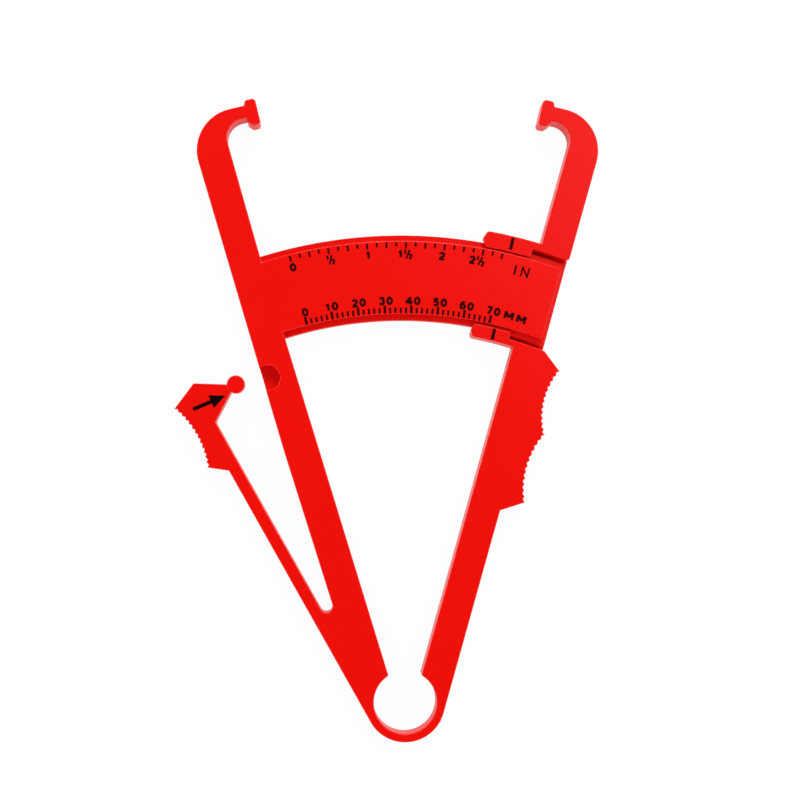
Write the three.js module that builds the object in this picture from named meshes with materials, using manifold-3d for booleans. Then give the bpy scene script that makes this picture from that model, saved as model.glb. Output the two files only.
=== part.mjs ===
import * as THREE from 'three';
import { mergeVertices } from 'three/addons/utils/BufferGeometryUtils.js';
import ManifoldModule from 'manifold-3d';

// A pocket skinfold caliper: one moulding in springy plastic, with a printed scale.
// It lies on its back. +Z runs through its thickness, +Y from the spring loop to the jaws.
// The origin is the centre that the scale's arcs are drawn about, inside the loop, in the
// plane that the caliper lies on.
// Sizes are in millimetres and angles in degrees. Each arm has a frame of its own, tilted
// from +Y: "across" is measured from that centre to the right, "along" up the arm.

// Heights through the thickness
const bodyThickness = 5;
const bridgeThickness = 1.5;
const bridgeGap = 0.3;
const railStep = 1.4;
const lipGap = 0.35;
const pocketFloor = 1.6;
const discFloorGap = 0.4;
const inkThickness = 0.1;

// Spring loop
const loopCentreX = 0.6;
const loopCentreY = 1.4;
const loopBore = 15.74;
const loopWall = 2.08;

// Left arm: how far its edges lie left of the arcs' centre, at three stations, the last
// of them where the jaw's hook begins
const leftTilt = -17.04;
const leftInnerHeel = 1.05;
const leftInnerHook = 0.53;
const leftOuterHeel = 9.2;
const leftOuterBend = 9.55;
const leftOuterHook = 8.81;
const heelStation = 25;
const bendStation = 70;

// Right arm: how far its edges lie right of the arcs' centre
const rightTilt = 15.6;
const rightInner = 2.3;
const rightOuterHigh = 10;
const rightHeelLength = 20;
const armCornerRadius = 0.8;

// Jaws. The right one's hook is stouter than the left one's.
const leftHook = { depth: 9.36, neckWidth: 3.1, neckOffset: 0.5, innerRadius: 4.7 };
const rightHook = { depth: 9.12, neckWidth: 3.6, neckOffset: 0.25, innerRadius: 4.4 };
const leftPadReach = 152.85;
const rightPadReach = 152.6;
const hookRise = 10.1;
const hookOuterRadius = 10.5;
const padLength = 6.5;
const padThickness = 3.1;
const padFrontChamfer = 0.55;
const padBackChamfer = 1.1;

// Scale plate
const scaleInnerRadius = 96.75;
const scaleWidth = 21.25;
const outerRailWidth = 1.55;
const innerRailWidth = 1.5;
const endRailWidth = 0.75;
const scaleEndInset = 0.5;

// Guides on the right arm
const guideGap = 0.95;
const outerLipGap = 0.4;
const innerLipGap = 0.75;
const upperTabWall = 1.9;
const lowerTabWall = 1.6;
const upperTabFrom = 9.72;
const upperLipTo = 15.85;
const lowerTabFrom = 10.15;
const lowerLipTo = 16.05;
const bridgePastLip = 0.6;
const tabTipRadius = 0.7;
const tabNose = 0.65;

// Finger grip on the right arm
const gripTopDrop = 4.4;
const upperGripLength = 16.2;
const lowerGripLength = 17.6;
const gripFootLength = 3.6;
const gripTopProud = 5;
const gripMidProud = 5.7;
const gripLowProud = 5.5;
const gripSag = 1.9;
const gripTeeth = 12;
const toothDepth = 0.4;

// Thumb lever. Its pad's sizes run up from the end of the blade.
const bladeTilt = -29.33;
const bladeThickness = 3;
const bladeEndStation = 72.8;
const slotEndRadius = 1.55;
const leverPivotShare = 0.4;
const padLowRise = 3.3;
const padCornerRise = 12.2;
const padBackRise = 20;
const padTopRise = 23.2;
const padProud = 4.25;
const padSag = 1.5;
const padTeeth = 13;
const discRise = 17.87;
const discReach = 9;
const discRadius = 2.24;
const neckSpread = 1.25;
const pocketRadius = 3.07;
const pocketInset = 1.29;

// Printed marks. Each graduation shows the gap between the jaws, which close about a point
// a little below the arcs' centre.
const closingDrop = 5;
const zeroBearing = -14.06;
const millimetreLineGap = 2;
const millimetreLines = 36;
const linesPerTen = 5;
const inchLineGap = 3.175;
const inchLines = 23;
const tickWidth = 0.3;
const millimetreTick = 1.45;
const tenMillimetreTick = 2.3;
const eighthTick = 1.55;
const quarterTick = 1.9;
const halfTick = 2.1;
const combSpine = 0.15;
const upperIndexBearing = 13.24;
const lowerIndexBearing = 13.6;
const indexWidth = 0.65;
const indexLength = 2.8;
const arrowLength = 8.4;
const arrowHeadLength = 3.7;
const arrowHeadWidth = 3.2;
const arrowShaftWidth = 0.7;
const arrowBearing = 66.9;
const arrowTipShort = 3.8;
const arrowTipRise = 16.85;

// How finely arcs are cut
const wideArcAngle = 1.5;
const smallArcAngle = 10;

const plastic = new THREE.MeshStandardMaterial({ color: 0xee1409, roughness: 0.42, metalness: 0 });
const ink = new THREE.MeshStandardMaterial({ color: 0x1a0504, roughness: 0.6, metalness: 0 });

const wasm = await ManifoldModule();
wasm.setup();

// Points, lines and arcs in the plane of the caliper

const radians = THREE.MathUtils.degToRad;
const degrees = THREE.MathUtils.radToDeg;
const arcCentre = new THREE.Vector2(0, 0);

function tilted(tilt, across, along) {
  const angle = radians(tilt);
  return new THREE.Vector2(
    across * Math.cos(angle) + along * Math.sin(angle),
    along * Math.cos(angle) - across * Math.sin(angle),
  );
}

// A bearing is an angle from +Y, positive to the right.
function atBearing(centre, radius, bearing) {
  return tilted(bearing, 0, radius).add(centre);
}

function bearingOf(point, centre = arcCentre) {
  return degrees(Math.atan2(point.x - centre.x, point.y - centre.y));
}

function line(from, to) {
  return { from, step: to.clone().sub(from).normalize() };
}

function shifted(edge, toTheRight) {
  const normal = new THREE.Vector2(edge.step.y, -edge.step.x);
  return { from: edge.from.clone().addScaledVector(normal, toTheRight), step: edge.step };
}

function meet(a, b) {
  const gap = b.from.clone().sub(a.from);
  const travel = gap.cross(b.step) / a.step.cross(b.step);
  return a.from.clone().addScaledVector(a.step, travel);
}

// Where a line leaves a circle, going along its step.
function leaves(edge, centre, radius) {
  const start = edge.from.clone().sub(centre);
  const along = start.dot(edge.step);
  const reach = Math.sqrt(along * along - start.lengthSq() + radius * radius);
  return edge.from.clone().addScaledVector(edge.step, reach - along);
}

function footOf(point, edge) {
  const travel = point.clone().sub(edge.from).dot(edge.step);
  return edge.from.clone().addScaledVector(edge.step, travel);
}

// Points on a circle from one bearing to another, both ends included.
function arc(centre, radius, from, to, step = wideArcAngle) {
  const count = Math.max(1, Math.ceil(Math.abs(to - from) / step));
  const points = [];
  for (let i = 0; i <= count; i += 1) {
    points.push(atBearing(centre, radius, from + ((to - from) * i) / count));
  }
  return points;
}

// The arc that rounds a corner between its two neighbours.
function roundCorner(before, corner, after, radius) {
  const back = before.clone().sub(corner).normalize();
  const ahead = after.clone().sub(corner).normalize();
  const half = Math.acos(THREE.MathUtils.clamp(back.dot(ahead), -1, 1)) / 2;
  const start = corner.clone().addScaledVector(back, radius / Math.tan(half));
  const middle = back.clone().add(ahead).normalize();
  const centre = corner.clone().addScaledVector(middle, radius / Math.sin(half));
  const sweep = degrees(Math.PI - 2 * half) * Math.sign(back.cross(ahead));
  const first = bearingOf(start, centre);
  return arc(centre, radius, first, first + sweep, smallArcAngle);
}

// A closed outline from corners. A corner may be [point, radius] to be rounded.
function outline(corners) {
  const bare = corners.map((corner) => (Array.isArray(corner) ? corner[0] : corner));
  return corners.flatMap((corner, i) => {
    if (!Array.isArray(corner)) return [corner];
    const before = bare.at(i - 1);
    const after = bare[(i + 1) % bare.length];
    return roundCorner(before, corner[0], after, corner[1]);
  });
}

// A hollow curve between two points with teeth along it: the tips lie on the curve,
// the valleys between them are cut to its right.
function serrated(from, to, sag, teeth, depth) {
  const chord = to.clone().sub(from);
  const right = new THREE.Vector2(chord.y, -chord.x).normalize();
  const radius = (chord.length() ** 2 / 4 + sag * sag) / (2 * sag);
  const centre = from.clone().add(to).multiplyScalar(0.5).addScaledVector(right, sag - radius);
  const first = bearingOf(from, centre);
  const turn = THREE.MathUtils.euclideanModulo(bearingOf(to, centre) - first + 180, 360) - 180;
  const points = [];
  for (let i = 0; i <= 2 * teeth; i += 1) {
    const reach = radius + (i % 2 === 1 ? depth : 0);
    points.push(atBearing(centre, reach, first + (turn * i) / (2 * teeth)));
  }
  return points;
}

// Solids

function prism(points, height) {
  return new THREE.ExtrudeGeometry(new THREE.Shape(points), { depth: height, bevelEnabled: false });
}

function solidOf(geometry) {
  const bare = geometry.clone();
  bare.deleteAttribute('normal');
  bare.deleteAttribute('uv');
  const merged = mergeVertices(bare);
  return new wasm.Manifold(new wasm.Mesh({
    numProp: 3,
    vertProperties: merged.attributes.position.array,
    triVerts: Uint32Array.from(merged.index.array),
  }));
}

function cutAway(geometry, cutter) {
  const left = solidOf(geometry).subtract(solidOf(cutter)).getMesh();
  const result = new THREE.BufferGeometry();
  result.setAttribute('position', new THREE.BufferAttribute(left.vertProperties, 3));
  result.setIndex(new THREE.BufferAttribute(left.triVerts, 1));
  result.computeVertexNormals();
  return result;
}

function piece(name, geometry, height = 0, material = plastic) {
  const mesh = new THREE.Mesh(geometry, material);
  mesh.name = name;
  mesh.position.z = height;
  return mesh;
}

// Levels through the thickness that follow from the sizes above
const plateBack = bridgeThickness + bridgeGap;
const railHeight = bodyThickness - railStep - plateBack;
const lipBack = bodyThickness - railStep + lipGap;
const discBack = pocketFloor + discFloorGap;

// Radii and stations that follow too
const scaleOuterRadius = scaleInnerRadius + scaleWidth;
const leftHookStation = leftPadReach - hookRise;
const rightHookStation = rightPadReach - hookRise;

// Spring loop
const loopCentre = new THREE.Vector2(loopCentreX, loopCentreY);
const loopInner = loopBore / 2;
const loopOuter = loopInner + loopWall;

function besideLoop(tilt, side) {
  const touch = loopCentre.clone().add(tilted(tilt, side * loopOuter, 0));
  return line(touch, touch.clone().add(tilted(tilt, 0, 1)));
}

// Edges of the arms and of the lever's blade, each running away from the loop
const leftInnerLow = line(tilted(leftTilt, -leftInnerHeel, 0), tilted(leftTilt, -leftInnerHeel, 1));
const leftInnerHigh = line(
  leaves(leftInnerLow, arcCentre, scaleOuterRadius),
  tilted(leftTilt, -leftInnerHook, leftHookStation),
);
const leftBend = tilted(leftTilt, -leftOuterBend, bendStation);
const leftOuterLow = line(tilted(leftTilt, -leftOuterHeel, heelStation), leftBend);
const leftOuterUp = line(leftBend, tilted(leftTilt, -leftOuterHook, leftHookStation));
const rightInnerEdge = line(tilted(rightTilt, rightInner, 0), tilted(rightTilt, rightInner, 1));
const rightOuterLow = besideLoop(rightTilt, 1);
const rightOuterUp = line(tilted(rightTilt, rightOuterHigh, 0), tilted(rightTilt, rightOuterHigh, 1));
const bladeOuter = besideLoop(bladeTilt, -1);
const bladeInner = shifted(bladeOuter, bladeThickness);

// Jaw pads and hooks. A jaw's contact face is on a line through the arcs' centre.
const crossCut = (tilt, station) => line(tilted(tilt, 0, station), tilted(tilt, 1, station));
const leftHookCut = crossCut(leftTilt, leftHookStation);
const rightHookCut = crossCut(rightTilt, rightHookStation);

function jaw(side, cut, innerEdge, outerEdge, reach, shape) {
  const onInner = leaves(innerEdge, arcCentre, reach);
  const faceBearing = bearingOf(onInner) - side * degrees(shape.depth / reach);
  const local = (deep, along) => tilted(faceBearing, side * deep, along);
  const neckLow = reach + shape.neckOffset - shape.neckWidth / 2;
  const neckHigh = neckLow + shape.neckWidth;
  const half = padLength / 2;
  const pad = outline([
    local(0, reach - half + padFrontChamfer),
    local(padFrontChamfer, reach - half),
    local(padThickness - padBackChamfer, reach - half),
    local(padThickness, reach - half + padBackChamfer),
    local(padThickness, neckLow),
    local(padThickness, neckHigh),
    local(padThickness - padFrontChamfer, reach + half),
    local(padFrontChamfer, reach + half),
    local(0, reach + half - padFrontChamfer),
  ]);
  const topLine = line(local(padThickness, neckHigh), local(padThickness + 1, neckHigh));
  const lowLine = line(local(padThickness, neckLow), local(padThickness + 1, neckLow));
  const hook = outline([
    local(padThickness, neckLow),
    local(padThickness, neckHigh),
    [meet(topLine, outerEdge), hookOuterRadius],
    meet(cut, outerEdge),
    meet(cut, innerEdge),
    [meet(lowLine, innerEdge), shape.innerRadius],
  ]);
  return { pad, hook };
}

const leftJaw = jaw(-1, leftHookCut, leftInnerHigh, leftOuterUp, leftPadReach, leftHook);
const rightJaw = jaw(1, rightHookCut, rightInnerEdge, rightOuterUp, rightPadReach, rightHook);

// Scale plate. Its left end lies against the left arm, its right end is cut parallel to
// the right arm, and a lower rail runs round its three free sides.
const faceOuterRadius = scaleOuterRadius - outerRailWidth;
const faceInnerRadius = scaleInnerRadius + innerRailWidth;
const plateEnd = shifted(rightOuterUp, -scaleEndInset);
const faceEnd = shifted(plateEnd, -endRailWidth);

function sector(lowRadius, highRadius, startEdge, endEdge) {
  const low = [startEdge, endEdge].map((edge) => leaves(edge, arcCentre, lowRadius));
  const high = [startEdge, endEdge].map((edge) => leaves(edge, arcCentre, highRadius));
  return [
    ...arc(arcCentre, lowRadius, bearingOf(low[0]), bearingOf(low[1])),
    ...arc(arcCentre, highRadius, bearingOf(high[1]), bearingOf(high[0])),
  ];
}

const scalePlate = sector(faceInnerRadius, faceOuterRadius, leftInnerLow, faceEnd);
const outerRail = sector(faceOuterRadius, scaleOuterRadius, leftInnerLow, faceEnd);
const innerRail = sector(scaleInnerRadius, faceInnerRadius, leftInnerLow, faceEnd);
const endRail = sector(scaleInnerRadius, scaleOuterRadius, faceEnd, plateEnd);

// Thumb lever, in the frame of its blade
const bladeOuterAcross = tilted(-bladeTilt, bladeOuter.from.x, bladeOuter.from.y).x;
const bladeInnerAcross = bladeOuterAcross + bladeThickness;
const onBlade = (across, along) => tilted(bladeTilt, across, along);
const slotCorner = meet(bladeInner, leftOuterLow);
const slotEnd = roundCorner(
  slotCorner.clone().add(bladeInner.step),
  slotCorner,
  slotCorner.clone().add(leftOuterLow.step),
  slotEndRadius,
);
const bladeRootInner = slotEnd[0];
const bladeRootOuter = footOf(bladeRootInner, bladeOuter);
const armRootOuter = slotEnd.at(-1);
const armRootInner = footOf(armRootOuter, leftInnerLow);
const bladeTopOuter = onBlade(bladeOuterAcross, bladeEndStation);
const bladeTopInner = onBlade(bladeInnerAcross, bladeEndStation);

const onPad = (across, rise) => onBlade(bladeInnerAcross + across, bladeEndStation + rise);
const padBackAcross = -bladeThickness - padProud;
const discCentre = onPad(discReach, discRise);
const padInnerCorner = onPad(0, padCornerRise);
const padTop = onPad(0, padTopRise);
const towardDisc = line(padTop, discCentre.clone().add(onBlade(-discRadius, neckSpread)));
const fromCorner = line(padInnerCorner, discCentre.clone().add(onBlade(-discRadius, -neckSpread)));

function entersDisc(edge) {
  const back = { from: edge.from.clone().addScaledVector(edge.step, 40), step: edge.step.clone().negate() };
  return leaves(back, discCentre, discRadius);
}

const neckTop = entersDisc(towardDisc);
const neckLow = entersDisc(fromCorner);
const discStart = bearingOf(neckTop, discCentre);
const discSweep = 360 - THREE.MathUtils.euclideanModulo(discStart - bearingOf(neckLow, discCentre), 360);
const snapDisc = arc(discCentre, discRadius, discStart, discStart + discSweep, smallArcAngle);

const thumbPad = [
  bladeTopInner,
  padInnerCorner,
  neckLow,
  neckTop,
  padTop,
  ...serrated(
    onPad(padBackAcross, padLowRise),
    onPad(padBackAcross, padBackRise),
    padSag,
    padTeeth,
    toothDepth,
  ).toReversed(),
  bladeTopOuter,
];

// The blade bends over its length, so the pad turns about a point part of the way along it.
const bladeLength = bladeTopInner.distanceTo(bladeRootInner);
const leverPivot = bladeRootInner.clone().lerp(bladeRootOuter, 0.5)
  .addScaledVector(bladeInner.step, leverPivotShare * bladeLength);
const pocketCentre = leaves(
  shifted(leftOuterUp, pocketInset),
  leverPivot,
  leverPivot.distanceTo(discCentre),
);

// Left arm, heel and the thin wall of the loop
const leftArm = outline([
  meet(leftHookCut, leftOuterUp),
  leftBend,
  armRootOuter,
  armRootInner,
  leaves(leftInnerLow, arcCentre, scaleInnerRadius),
  leaves(leftInnerLow, arcCentre, scaleOuterRadius),
  meet(leftHookCut, leftInnerHigh),
]);

const leftTip = leaves(leftInnerLow, loopCentre, loopInner);
const rightTip = leaves(rightInnerEdge, loopCentre, loopInner);
const leftSeam = bearingOf(bladeOuter.from, loopCentre);
const rightSeam = bearingOf(rightOuterLow.from, loopCentre);

const leftHeel = [
  armRootInner,
  ...arc(loopCentre, loopInner, bearingOf(leftTip, loopCentre), leftSeam, smallArcAngle),
  bladeOuter.from,
  bladeRootOuter,
  ...slotEnd,
];
const springLoop = [
  ...arc(loopCentre, loopInner, leftSeam, rightSeam - 360, smallArcAngle),
  ...arc(loopCentre, loopOuter, rightSeam - 360, leftSeam, smallArcAngle),
];
const leverBlade = [bladeRootInner, bladeRootOuter, bladeTopOuter, bladeTopInner];

// Right arm. Its front stops short of the plate above and below, and only a thin web
// behind the plate joins the two stretches. The web reaches a little under the tabs' lips.
const upperEdgeRadius = scaleOuterRadius + guideGap;
const lowerEdgeRadius = scaleInnerRadius - guideGap;
const heelCut = crossCut(rightTilt, rightHeelLength);
const heelInner = meet(heelCut, rightInnerEdge);
const heelOuter = meet(heelCut, rightOuterLow);

function armEnd(radius, outerEdge) {
  const from = bearingOf(leaves(rightInnerEdge, arcCentre, radius));
  const to = bearingOf(leaves(outerEdge, arcCentre, radius));
  return arc(arcCentre, radius, from, to);
}

const upperEnd = armEnd(upperEdgeRadius, rightOuterUp);
const lowerEnd = armEnd(lowerEdgeRadius, rightOuterLow);
const rightHeel = [
  heelInner,
  ...arc(loopCentre, loopInner, bearingOf(rightTip, loopCentre), rightSeam, smallArcAngle),
  rightOuterLow.from,
  heelOuter,
];
const rightArmLower = [heelInner, heelOuter, ...lowerEnd.toReversed()];
const rightArmUpper = outline([
  meet(rightHookCut, rightInnerEdge),
  ...upperEnd.slice(0, -1),
  [upperEnd.at(-1), armCornerRadius],
  meet(rightHookCut, rightOuterUp),
]);
const guideBridge = [
  atBearing(arcCentre, lowerEdgeRadius, lowerLipTo - bridgePastLip),
  ...lowerEnd,
  ...upperEnd.toReversed(),
  atBearing(arcCentre, upperEdgeRadius, upperLipTo - bridgePastLip),
];

// A guide tab is a full-height wall beside the plate's edge, with a lip over the rail.
// wallRadius is the tab's far side, edgeRadius its side toward the plate, lipRadius the lip's edge.
function guideTab(from, lipTo, wallRadius, edgeRadius, lipRadius) {
  const middle = (wallRadius + lipRadius) / 2;
  const nose = from + degrees(tabNose / middle);
  const end = bearingOf(leaves(rightInnerEdge, arcCentre, edgeRadius));
  const wallEnd = bearingOf(leaves(rightInnerEdge, arcCentre, wallRadius));
  const shape = outline([
    ...arc(arcCentre, edgeRadius, end, lipTo),
    [atBearing(arcCentre, lipRadius, lipTo), tabTipRadius],
    ...arc(arcCentre, lipRadius, lipTo - wideArcAngle / 2, nose + wideArcAngle / 2),
    [atBearing(arcCentre, lipRadius, nose), tabTipRadius],
    atBearing(arcCentre, middle, from),
    [atBearing(arcCentre, wallRadius, nose), tabTipRadius],
    ...arc(arcCentre, wallRadius, nose + wideArcAngle / 2, wallEnd),
  ]);
  const farPast = edgeRadius + Math.sign(lipRadius - edgeRadius) * 10;
  const underLip = prism([
    ...arc(arcCentre, edgeRadius, from - 2, end + 2),
    ...arc(arcCentre, farPast, end + 2, from - 2),
  ], lipBack + 1);
  underLip.translate(0, 0, -1);
  return cutAway(prism(shape, bodyThickness), underLip);
}

// Finger grip: two hollows with teeth on the right arm's outer edge
const gripAcross = tilted(-rightTilt, rightOuterLow.from.x, rightOuterLow.from.y).x;
const gripTopStation = lowerEdgeRadius - gripTopDrop;
const onGrip = (proud, below) => tilted(rightTilt, gripAcross + proud, gripTopStation - below);
const gripMid = onGrip(gripMidProud, upperGripLength);
const gripMidFoot = onGrip(0, upperGripLength);
const gripLength = upperGripLength + lowerGripLength;
const upperGrip = [
  lowerEnd.at(-1),
  ...serrated(onGrip(gripTopProud, 0), gripMid, gripSag, gripTeeth, toothDepth),
  gripMidFoot,
];
const lowerGrip = [
  gripMidFoot,
  ...serrated(gripMid, onGrip(gripLowProud, gripLength), gripSag, gripTeeth, toothDepth),
  onGrip(0, gripLength + gripFootLength),
];

// Printed marks. Each graduation is one comb, its ticks joined along the edge of the face.
function comb(spineRadius, inward, bearings, lengths) {
  const half = degrees(tickWidth / 2 / spineRadius);
  const root = spineRadius + inward * combSpine;
  const teeth = bearings.flatMap((bearing, i) => [
    atBearing(arcCentre, root, bearing - half),
    atBearing(arcCentre, spineRadius + inward * lengths[i], bearing - half),
    atBearing(arcCentre, spineRadius + inward * lengths[i], bearing + half),
    atBearing(arcCentre, root, bearing + half),
  ]);
  const spine = arc(arcCentre, spineRadius, bearings.at(-1) + half, bearings[0] - half);
  return [...teeth, ...spine];
}

// The bearings of a graduation's lines: a pointer at its radius turns past them.
function lineBearings(radius, gap, count) {
  const meanReach = (leftPadReach + rightPadReach) / 2 + closingDrop;
  const turn = degrees(((radius + closingDrop) / radius) * (gap / meanReach));
  return Array.from({ length: count }, (_, i) => zeroBearing + i * turn);
}

const millimetreBearings = lineBearings(faceInnerRadius, millimetreLineGap, millimetreLines);
const millimetreComb = comb(
  faceInnerRadius,
  1,
  millimetreBearings,
  millimetreBearings.map((_, i) => (i % linesPerTen === 0 ? tenMillimetreTick : millimetreTick)),
);
const inchBearings = lineBearings(faceOuterRadius, inchLineGap, inchLines);
const eighthLengths = [halfTick, eighthTick, quarterTick, eighthTick];
const inchComb = comb(
  faceOuterRadius,
  -1,
  inchBearings,
  inchBearings.map((_, i) => eighthLengths[i % eighthLengths.length]),
);

function indexMark(bearing, middleRadius) {
  return [[-1, -1], [1, -1], [1, 1], [-1, 1]].map(([side, end]) => (
    tilted(bearing, (side * indexWidth) / 2, middleRadius + (end * indexLength) / 2)
  ));
}

const upperTabRadius = upperEdgeRadius + upperTabWall;
const lowerTabRadius = lowerEdgeRadius - lowerTabWall;
const upperLipRadius = faceOuterRadius + outerLipGap;
const lowerLipRadius = faceInnerRadius - innerLipGap;

const arrowTip = onPad(discReach - arrowTipShort, arrowTipRise);
const onArrow = (across, back) => tilted(arrowBearing, across, -back).add(arrowTip);
const pressArrow = [
  onArrow(0, 0),
  onArrow(arrowHeadWidth / 2, arrowHeadLength),
  onArrow(arrowShaftWidth / 2, arrowHeadLength),
  onArrow(arrowShaftWidth / 2, arrowLength),
  onArrow(-arrowShaftWidth / 2, arrowLength),
  onArrow(-arrowShaftWidth / 2, arrowHeadLength),
  onArrow(-arrowHeadWidth / 2, arrowHeadLength),
];

// The snap pocket is open toward the disc, where its circle runs out of the arm's edge.
const pocket = new THREE.CylinderGeometry(pocketRadius, pocketRadius, bodyThickness, 48);
pocket.rotateX(Math.PI / 2);
pocket.translate(pocketCentre.x, pocketCentre.y, pocketFloor + bodyThickness / 2);

const fixedArm = new THREE.Group();
fixedArm.add(
  piece('left_jaw_pad', prism(leftJaw.pad, bodyThickness)),
  piece('left_jaw_hook', prism(leftJaw.hook, bodyThickness)),
  piece('left_arm', cutAway(prism(leftArm, bodyThickness), pocket)),
  piece('left_heel', prism(leftHeel, bodyThickness)),
  piece('spring_loop', prism(springLoop, bodyThickness)),
  piece('scale_plate', prism(scalePlate, bodyThickness - plateBack), plateBack),
  piece('scale_outer_rail', prism(outerRail, railHeight), plateBack),
  piece('scale_inner_rail', prism(innerRail, railHeight), plateBack),
  piece('scale_end_rail', prism(endRail, railHeight), plateBack),
  piece('millimetre_graduation', prism(millimetreComb, inkThickness), bodyThickness, ink),
  piece('inch_graduation', prism(inchComb, inkThickness), bodyThickness, ink),
);

const movingArm = new THREE.Group();
movingArm.add(
  piece('right_jaw_pad', prism(rightJaw.pad, bodyThickness)),
  piece('right_jaw_hook', prism(rightJaw.hook, bodyThickness)),
  piece('right_arm_upper', prism(rightArmUpper, bodyThickness)),
  piece('guide_bridge', prism(guideBridge, bridgeThickness)),
  piece('upper_guide_tab', guideTab(
    upperTabFrom, upperLipTo, upperTabRadius, upperEdgeRadius, upperLipRadius,
  )),
  piece('lower_guide_tab', guideTab(
    lowerTabFrom, lowerLipTo, lowerTabRadius, lowerEdgeRadius, lowerLipRadius,
  )),
  piece('right_arm_lower', prism(rightArmLower, bodyThickness)),
  piece('right_heel', prism(rightHeel, bodyThickness)),
  piece('upper_finger_grip', prism(upperGrip, bodyThickness)),
  piece('lower_finger_grip', prism(lowerGrip, bodyThickness)),
  piece('upper_index_mark', prism(
    indexMark(upperIndexBearing, (upperTabRadius + upperLipRadius) / 2), inkThickness,
  ), bodyThickness, ink),
  piece('lower_index_mark', prism(
    indexMark(lowerIndexBearing, (lowerTabRadius + lowerLipRadius) / 2), inkThickness,
  ), bodyThickness, ink),
);

const thumbLever = new THREE.Group();
thumbLever.add(
  piece('lever_blade', prism(leverBlade, bodyThickness)),
  piece('thumb_pad', prism(thumbPad, bodyThickness)),
  piece('snap_disc', prism(snapDisc, bodyThickness - discBack), discBack),
  piece('press_arrow', prism(pressArrow, inkThickness), bodyThickness, ink),
);

const caliper = new THREE.Group();
caliper.add(fixedArm, movingArm, thumbLever);

export default caliper;
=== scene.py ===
"""Dresses a pocket skinfold caliper: one satin red moulding in springy plastic, printed in black.

The caliper lies on its back. +Z runs through its thickness, +Y from the spring loop to the jaws.
Sizes are in millimetres and angles in degrees until a mesh is made, which is in metres.
An arm's frame is tilted from +Y: "across" runs to the right from the centre that the scale's
arcs are drawn about, and "along" runs up the arm. A bearing is an angle from +Y, positive to
the right.
"""

from __future__ import annotations

import logging
import math
from dataclasses import dataclass, field
from enum import Enum

import bmesh
import bpy
from mathutils import Matrix, Vector

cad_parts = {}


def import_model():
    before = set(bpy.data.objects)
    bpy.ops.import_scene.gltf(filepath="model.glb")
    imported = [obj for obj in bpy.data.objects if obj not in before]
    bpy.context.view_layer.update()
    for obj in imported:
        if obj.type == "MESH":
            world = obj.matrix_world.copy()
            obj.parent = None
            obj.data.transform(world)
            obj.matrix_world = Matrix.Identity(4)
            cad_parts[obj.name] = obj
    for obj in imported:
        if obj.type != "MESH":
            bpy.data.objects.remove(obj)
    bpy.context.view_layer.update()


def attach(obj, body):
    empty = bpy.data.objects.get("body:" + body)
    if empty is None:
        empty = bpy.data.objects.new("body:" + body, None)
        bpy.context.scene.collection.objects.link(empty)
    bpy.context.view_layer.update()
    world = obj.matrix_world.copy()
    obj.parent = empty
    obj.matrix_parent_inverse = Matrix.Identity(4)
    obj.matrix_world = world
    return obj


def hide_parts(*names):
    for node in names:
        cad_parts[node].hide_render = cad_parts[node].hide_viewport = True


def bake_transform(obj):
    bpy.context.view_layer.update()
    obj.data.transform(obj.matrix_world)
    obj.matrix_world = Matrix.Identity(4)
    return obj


LOG = logging.getLogger("caliper")
MM = 0.001
CENTRE = Vector((0.0, 0.0))
Points = list[Vector]
# How far apart two points may be and count as one, and how far off an edge and count as on it.
SAME_POINT = 1e-6
ON_EDGE = 1e-4
# The sine of the sharpest turn that counts as straight.
STRAIGHT_ON = 1e-3


class Body(Enum):
    """The three parts of the moulding that move against each other."""

    FIXED = "fixed_arm"
    MOVING = "moving_arm"
    LEVER = "thumb_lever"


class Slot(Enum):
    """The record's material slots."""

    PLASTIC = "moulded_plastic"
    INK = "printed_ink"


class Side(Enum):
    """Which side of the caliper a jaw is on, as the sign of +X."""

    LEFT = -1
    RIGHT = 1


# Points, lines and arcs in the plane of the caliper


def tilted(tilt: float, across: float, along: float) -> Vector:
    """Turns a point of a frame that leans to the right of +Y by a tilt into the plan's frame."""
    sine, cosine = math.sin(math.radians(tilt)), math.cos(math.radians(tilt))
    return Vector((across * cosine + along * sine, along * cosine - across * sine))


def at_bearing(radius: float, bearing: float, centre: Vector = CENTRE) -> Vector:
    """Gives the point at a bearing and a radius from a centre."""
    return tilted(bearing, 0.0, radius) + centre


def bearing_of(point: Vector, centre: Vector = CENTRE) -> float:
    """Gives a point's bearing from a centre."""
    return math.degrees(math.atan2(point.x - centre.x, point.y - centre.y))


def crossed(a: Vector, b: Vector) -> float:
    """Gives the cross product of two plan vectors."""
    return a.x * b.y - a.y * b.x


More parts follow.
